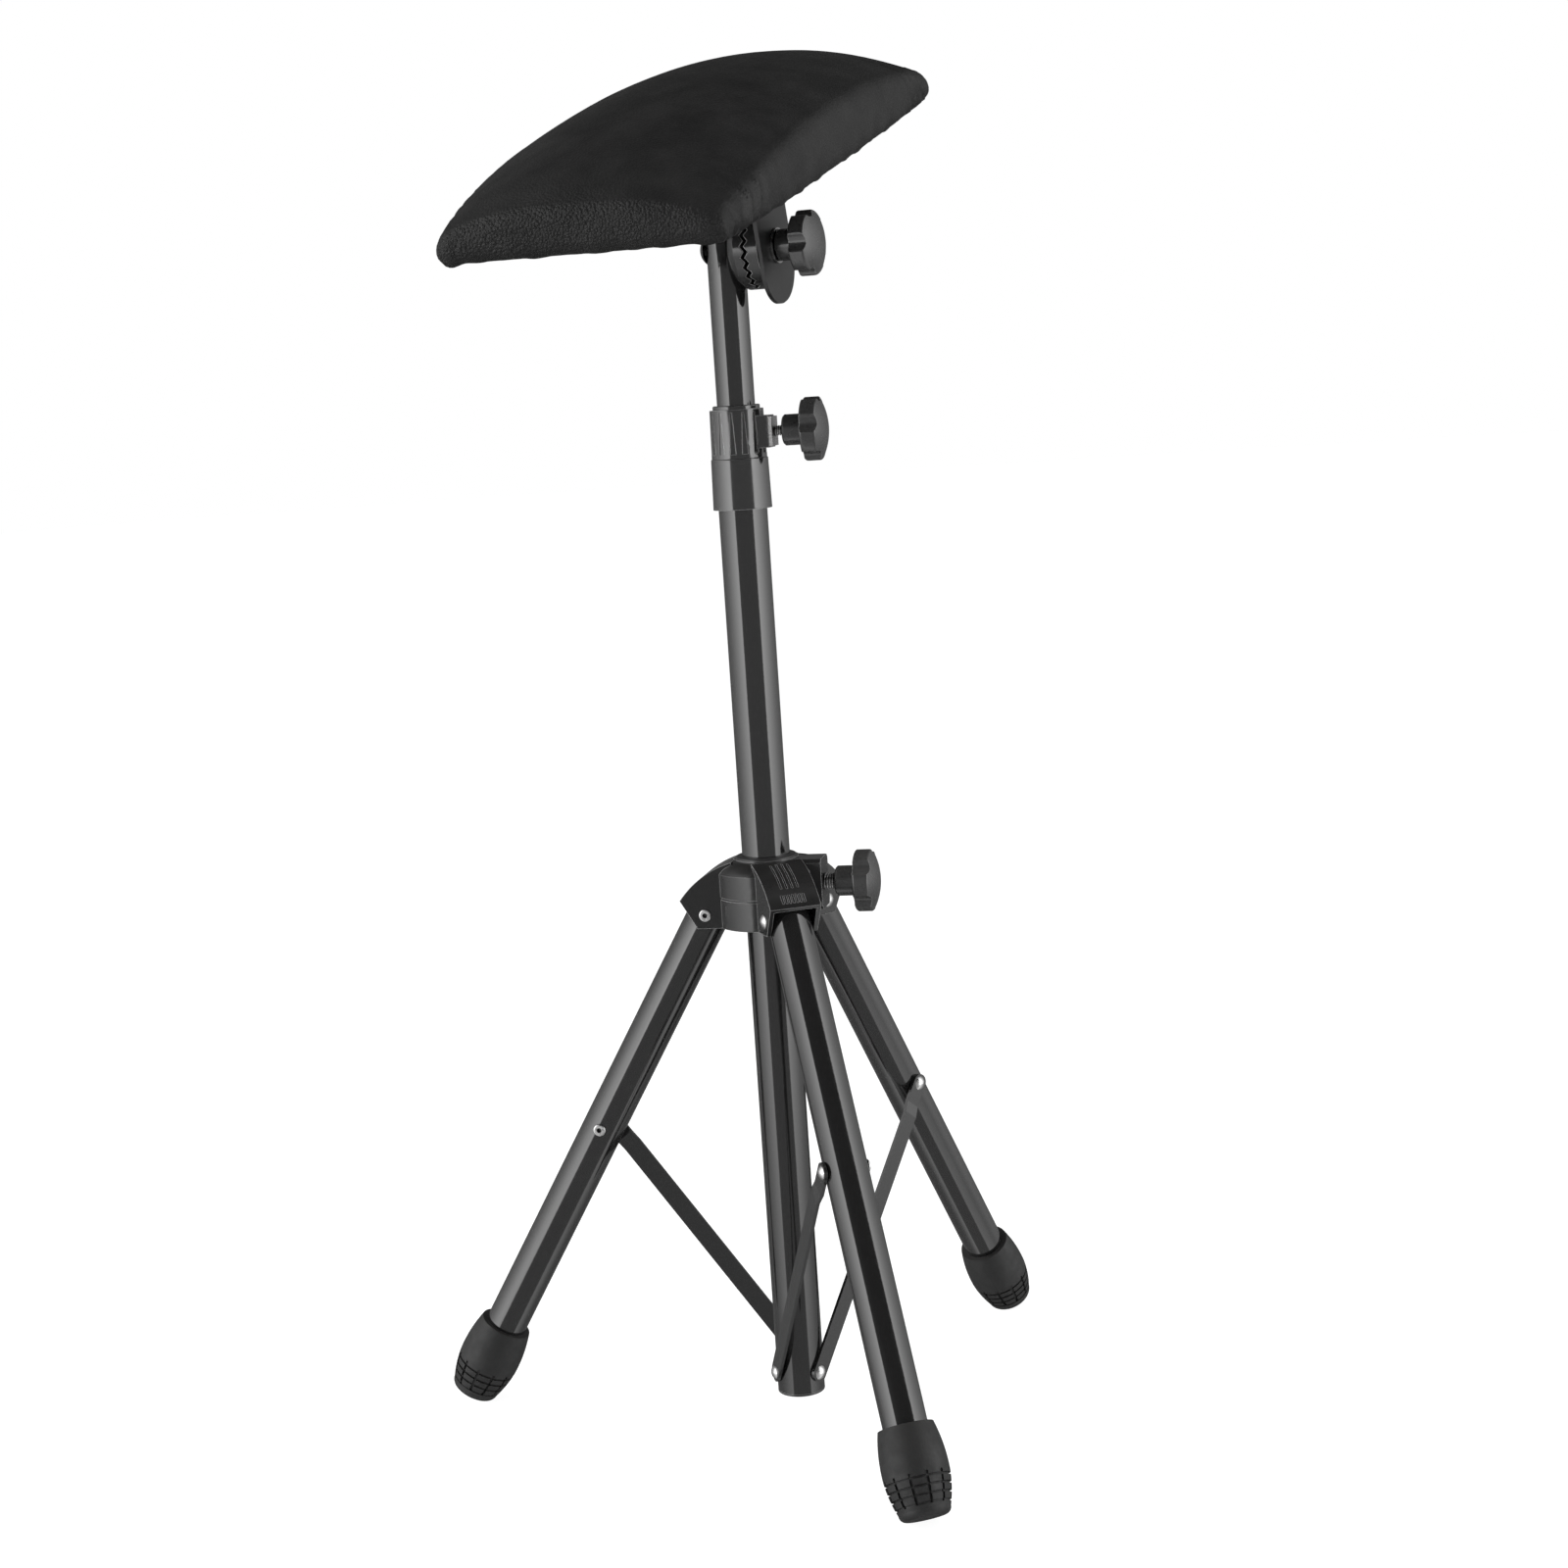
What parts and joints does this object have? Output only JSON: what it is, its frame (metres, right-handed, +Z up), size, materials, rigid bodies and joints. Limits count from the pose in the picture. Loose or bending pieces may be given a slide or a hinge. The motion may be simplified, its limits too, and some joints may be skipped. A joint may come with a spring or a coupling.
{
  "type": "tattoo arm rest stand",
  "caption": "Free-standing arm rest: a crowned tilting cushion on a telescopic swivelling column, carried by a folding tripod with braces, clamped by star knobs.",
  "frame": {"origin": "middle of the stand's bounding box at floor level", "axes": "+Z up, +X along the clamp screws away from the first leg, +Y to the left of +X"},
  "size_m": [0.3406, 0.3884, 0.8169],
  "materials": {
    "black_enamel": "glossy black stove enamel on steel",
    "black_plastic": "glossy moulded black plastic",
    "knob_plastic": "satin moulded black plastic",
    "bush_plastic": "smooth black bearing plastic",
    "bright_steel": "zinc plated steel",
    "foot_rubber": "matt black rubber",
    "pad_leather": "fine grained black synthetic leather",
    "pad_foam": "cut polyurethane foam",
    "pad_board": "raw plywood",
    "under_cloth": "black non-woven dust cloth"
  },
  "bodies": {
    "column": {"column_tube": "black_enamel", "column_plug": "black_plastic", "collar": "black_plastic", "collar_nut": "bright_steel", "column_rivet_1": "bright_steel", "column_rivet_2": "bright_steel", "column_rivet_3": "bright_steel"},
    "collar_clamp": {"collar_screw": "bright_steel", "collar_knob": "knob_plastic"},
    "hub": {"tripod_hub": "black_plastic", "hub_bush": "bush_plastic", "hub_nut": "bright_steel", "leg_pivot_rivet_1": "bright_steel", "leg_pivot_rivet_2": "bright_steel", "leg_pivot_rivet_3": "bright_steel"},
    "hub_clamp": {"hub_screw": "bright_steel", "hub_knob": "knob_plastic"},
    "leg_1": {"leg_tube_1": "black_enamel", "foot_1": "foot_rubber", "leg_stud_1": "bright_steel"},
    "brace_1": {"brace_1": "black_enamel", "brace_stud_1": "bright_steel"},
    "leg_2": {"leg_tube_2": "black_enamel", "foot_2": "foot_rubber", "leg_stud_2": "bright_steel"},
    "brace_2": {"brace_2": "black_enamel", "brace_stud_2": "bright_steel"},
    "leg_3": {"leg_tube_3": "black_enamel", "foot_3": "foot_rubber", "leg_stud_3": "bright_steel"},
    "brace_3": {"brace_3": "black_enamel", "brace_stud_3": "bright_steel"},
    "glide": {"upper_tube_glide": "bush_plastic"},
    "upper": {"upper_tube": "black_enamel", "upper_tube_cap": "black_plastic", "fixed_serrated_disc": "black_plastic", "tilt_bolt": "black_enamel", "tilt_washer": "bright_steel"},
    "tilt_clamp": {"tilt_knob": "knob_plastic", "tilt_knob_insert": "bright_steel"},
    "cushion": {"moving_serrated_disc": "black_plastic", "pad_bracket": "black_enamel", "bracket_screws": "bright_steel", "pad_board": "pad_board", "pad_foam": "pad_foam", "pad_cover": "pad_leather", "pad_underside_cloth": "under_cloth", "pad_staples": "bright_steel"}
  },
  "joints": [
    {"name": "collar_knob_turn", "type": "hinge", "parent": "column", "child": "collar_clamp", "pos_m": [0.05158, 0, 0.59], "axis": [1, 0, 0], "range_deg": [0, 720]},
    {"name": "hub_slide", "type": "slide", "parent": "column", "child": "hub", "axis": [0, 0, 1], "range_m": [0, 0.0506]},
    {"name": "hub_knob_turn", "type": "hinge", "parent": "hub", "child": "hub_clamp", "pos_m": [0.05158, 0, 0.32373], "axis": [1, 0, 0], "range_deg": [0, 720]},
    {"name": "leg_1_fold", "type": "hinge", "parent": "hub", "child": "leg_1", "pos_m": [0.01558, 0, 0.30773], "axis": [0, -1, 0], "range_deg": [0, 26.01]},
    {"name": "brace_1_fold", "type": "hinge", "parent": "column", "child": "brace_1", "pos_m": [0.05158, 0, 0.022], "axis": [0, 1, 0], "range_deg": [0, 21.87]},
    {"name": "leg_2_fold", "type": "hinge", "parent": "hub", "child": "leg_2", "pos_m": [0.06958, -0.03118, 0.30773], "axis": [0.866, 0.5, 0], "range_deg": [0, 26.01]},
    {"name": "brace_2_fold", "type": "hinge", "parent": "column", "child": "brace_2", "pos_m": [0.05158, 0, 0.022], "axis": [-0.866, -0.5, 0], "range_deg": [0, 21.87]},
    {"name": "leg_3_fold", "type": "hinge", "parent": "hub", "child": "leg_3", "pos_m": [0.06958, 0.03118, 0.30773], "axis": [-0.866, 0.5, 0], "range_deg": [0, 26.01]},
    {"name": "brace_3_fold", "type": "hinge", "parent": "column", "child": "brace_3", "pos_m": [0.05158, 0, 0.022], "axis": [0.866, -0.5, 0], "range_deg": [0, 21.87]},
    {"name": "height_slide", "type": "slide", "parent": "column", "child": "glide", "axis": [0, 0, 1], "range_m": [-0.055, 0.22]},
    {"name": "swivel", "type": "hinge", "parent": "glide", "child": "upper", "pos_m": [0.05158, 0, 0.695], "axis": [0, 0, 1], "range_deg": [-180, 180]},
    {"name": "tilt", "type": "hinge", "parent": "upper", "child": "cushion", "pos_m": [0.05158, 0, 0.695], "axis": [0.9829, -0.184, 0], "range_deg": [-105.6, 74.4]},
    {"name": "tilt_knob_turn", "type": "hinge", "parent": "upper", "child": "tilt_clamp", "pos_m": [0.05158, 0, 0.695], "axis": [0.9829, -0.184, 0], "range_deg": [0, 720]}
  ],
  "couplings": [
    {"joint": "leg_1_fold", "follows": "hub_slide", "rad_per_m": 8.9666},
    {"joint": "brace_1_fold", "follows": "hub_slide", "rad_per_m": 7.5355},
    {"joint": "leg_2_fold", "follows": "hub_slide", "rad_per_m": 8.9666},
    {"joint": "brace_2_fold", "follows": "hub_slide", "rad_per_m": 7.5355},
    {"joint": "leg_3_fold", "follows": "hub_slide", "rad_per_m": 8.9666},
    {"joint": "brace_3_fold", "follows": "hub_slide", "rad_per_m": 7.5355}
  ]
}
